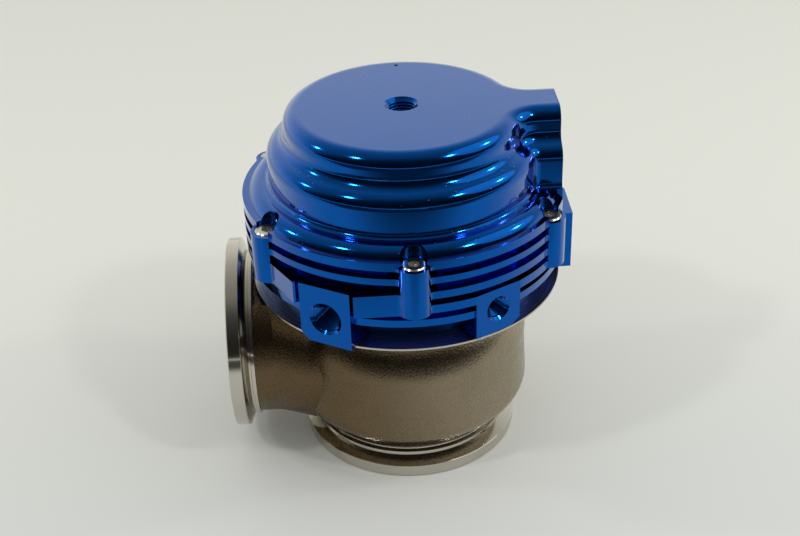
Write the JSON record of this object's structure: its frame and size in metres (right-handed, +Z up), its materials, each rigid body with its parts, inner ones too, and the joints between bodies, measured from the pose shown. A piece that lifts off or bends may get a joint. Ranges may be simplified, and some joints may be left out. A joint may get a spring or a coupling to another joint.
{
  "type": "turbo wastegate",
  "caption": "External turbocharger wastegate: cast elbow body with clamp-band flanges under a stepped round blue actuator with cooling fins, a port lug and a poppet valve held shut by springs.",
  "frame": {"origin": "centre of the valve seat's mouth, in the plane of the inlet flange face", "axes": "+Z up the valve axis from the inlet to the actuator, -X out of the outlet flange, +X towards the port lug of the upper housing"},
  "size_m": [0.1052, 0.1026, 0.1111],
  "materials": {
    "cast_body": "bead-blasted investment casting with machined flanges",
    "machined_steel": "turned stainless steel",
    "bronze": "turned bronze",
    "thin_steel": "thin stamped stainless sheet",
    "blue_anodised": "polished and bright blue anodised",
    "screw_steel": "plain stainless hardware",
    "seal_rubber": "black fluoroelastomer",
    "diaphragm_rubber": "fabric-reinforced silicone sheet",
    "plate_aluminium": "turned aluminium",
    "spring_steel": "oil-tempered spring wire"
  },
  "bodies": {
    "housing": {"valve_body": "cast_body", "valve_seat": "machined_steel", "valve_guide": "bronze", "body_gasket": "thin_steel", "heat_shield": "thin_steel", "lower_housing": "blue_anodised", "base_screws": "screw_steel", "base_washers": "screw_steel", "stem_seal": "seal_rubber", "seal_retainer": "screw_steel", "diaphragm": "diaphragm_rubber", "outer_spring": "spring_steel", "middle_spring": "spring_steel", "inner_spring": "spring_steel", "upper_housing": "blue_anodised", "cap_screws": "screw_steel"},
    "valve_set": {"valve": "machined_steel", "lower_plate": "plate_aluminium", "spring_cup": "plate_aluminium", "stem_washer": "screw_steel", "stem_nut": "screw_steel"}
  },
  "joints": [
    {"name": "valve_lift", "type": "slide", "parent": "housing", "child": "valve_set", "axis": [0, 0, 1], "range_m": [0, 0.009], "stiffness_N_per_m": 5500, "springref_m": -0.02, "deforming": ["outer_spring", "middle_spring", "inner_spring", "diaphragm"]}
  ]
}
